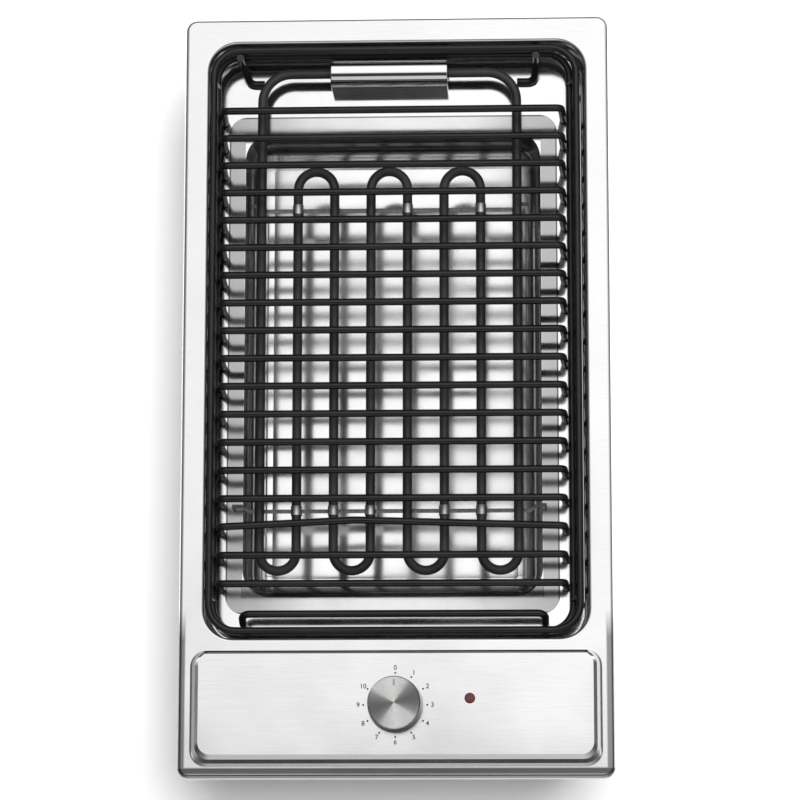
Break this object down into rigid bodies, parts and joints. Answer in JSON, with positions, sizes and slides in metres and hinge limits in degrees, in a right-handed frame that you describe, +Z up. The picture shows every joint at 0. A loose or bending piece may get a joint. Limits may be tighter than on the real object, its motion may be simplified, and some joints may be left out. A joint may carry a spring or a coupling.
{
  "type": "lava stone grill",
  "caption": "Built-in electric lava stone grill: steel plate with control knob, well with stone tray, tilting tubular element and lift-off wire grate.",
  "frame": {"origin": "bottom centre of the casing, under the middle of the plate", "axes": "+Y to the rear along the plate, +Z up, +X to the right seen from the controls"},
  "size_m": [0.29, 0.52, 0.1215],
  "materials": {
    "plate_steel": "fine brushed stainless steel",
    "well_steel": "bright drawn stainless steel",
    "tray_steel": "bright drawn stainless steel",
    "casing_steel": "galvanised sheet",
    "strip_steel": "plain stainless strip",
    "chrome": "mirror polished",
    "knob_aluminium": "turned, satin",
    "black_enamel": "black enamel on steel wire",
    "element_black": "matt oxidised sheath",
    "zinc": "zinc plated",
    "brass": "plain",
    "rubber": "silicone rubber",
    "seal_foam": "closed-cell foam",
    "black_plastic": "moulded",
    "white_plastic": "moulded",
    "ceramic": "plain steatite ceramic",
    "lamp_red": "dark red translucent",
    "lead_sleeve": "glass braid sleeve"
  },
  "bodies": {
    "housing": {"top_plate": "plate_steel", "well_liner": "well_steel", "worktop_seal": "seal_foam", "casing_front": "casing_steel", "casing_rear": "casing_steel", "casing_left": "casing_steel", "casing_right": "casing_steel", "bottom_cover": "casing_steel", "cover_screws": "zinc", "heat_shield": "casing_steel", "clamp_brackets": "casing_steel", "hinge_bracket": "casing_steel", "hinge_bushes": "ceramic", "hinge_screws": "zinc", "hinge_block_cover": "chrome", "lead_grommet": "rubber", "energy_regulator": "black_plastic", "regulator_screws": "zinc", "regulator_tabs": "brass", "lamp_lens": "lamp_red", "lamp_body": "black_plastic", "lamp_nut": "black_plastic", "terminal_block": "white_plastic", "terminal_screws": "zinc", "cable_gland": "black_plastic", "gland_nut": "black_plastic", "earth_stud": "brass", "earth_nut": "brass", "element_leads": "lead_sleeve", "lead_rings": "zinc", "supply_leads": "lead_sleeve", "lamp_leads": "lead_sleeve"},
    "tray": {"lava_tray": "tray_steel"},
    "element": {"heating_element": "element_black", "terminal_pins": "zinc", "tube_end_seals": "ceramic", "rear_support_strip": "strip_steel", "front_support_strip": "strip_steel", "strip_clips": "strip_steel"},
    "grate": {"grate_upper_frame": "black_enamel", "grate_lower_frame": "black_enamel", "grate_cross_wires": "black_enamel", "grate_frame_posts": "black_enamel", "grate_front_support": "black_enamel", "grate_rear_feet": "black_enamel"},
    "knob": {"knob_cap": "knob_aluminium", "knob_core": "black_plastic", "knob_spring": "zinc", "regulator_shaft": "zinc"},
    "clamp_front_left": {"clamp_screw_front_left": "zinc", "clamp_claw_front_left": "zinc"},
    "clamp_front_right": {"clamp_screw_front_right": "zinc", "clamp_claw_front_right": "zinc"},
    "clamp_rear_left": {"clamp_screw_rear_left": "zinc", "clamp_claw_rear_left": "zinc"},
    "clamp_rear_right": {"clamp_screw_rear_right": "zinc", "clamp_claw_rear_right": "zinc"}
  },
  "joints": [
    {"name": "grate_lift", "type": "slide", "parent": "housing", "child": "grate", "axis": [0, 0, 1], "range_m": [0, 0.46]},
    {"name": "element_tilt", "type": "hinge", "parent": "housing", "child": "element", "pos_m": [-0.0055, 0.2255, 0.0764], "axis": [-1, 0, 0], "range_deg": [0, 69]},
    {"name": "tray_lift", "type": "slide", "parent": "housing", "child": "tray", "axis": [0, 0, 1], "range_m": [0, 0.046]},
    {"name": "knob_turn", "type": "hinge", "parent": "housing", "child": "knob", "pos_m": [0, -0.2115, 0.1], "axis": [0, 0, -1], "range_deg": [0, 300]},
    {"name": "claw_swing_front_left", "type": "hinge", "parent": "housing", "child": "clamp_front_left", "pos_m": [-0.13, -0.14, 0.04], "axis": [0, 0, 1], "range_deg": [0, 90]},
    {"name": "claw_swing_front_right", "type": "hinge", "parent": "housing", "child": "clamp_front_right", "pos_m": [0.13, -0.14, 0.04], "axis": [0, 0, -1], "range_deg": [0, 90]},
    {"name": "claw_swing_rear_left", "type": "hinge", "parent": "housing", "child": "clamp_rear_left", "pos_m": [-0.13, 0.18, 0.04], "axis": [0, 0, -1], "range_deg": [0, 90]},
    {"name": "claw_swing_rear_right", "type": "hinge", "parent": "housing", "child": "clamp_rear_right", "pos_m": [0.13, 0.18, 0.04], "axis": [0, 0, 1], "range_deg": [0, 90]}
  ],
  "couplings": [
    {"joint": "element_tilt", "follows": "grate_lift", "rad_per_m": 2.6},
    {"joint": "tray_lift", "follows": "grate_lift", "ratio": 0.1}
  ]
}
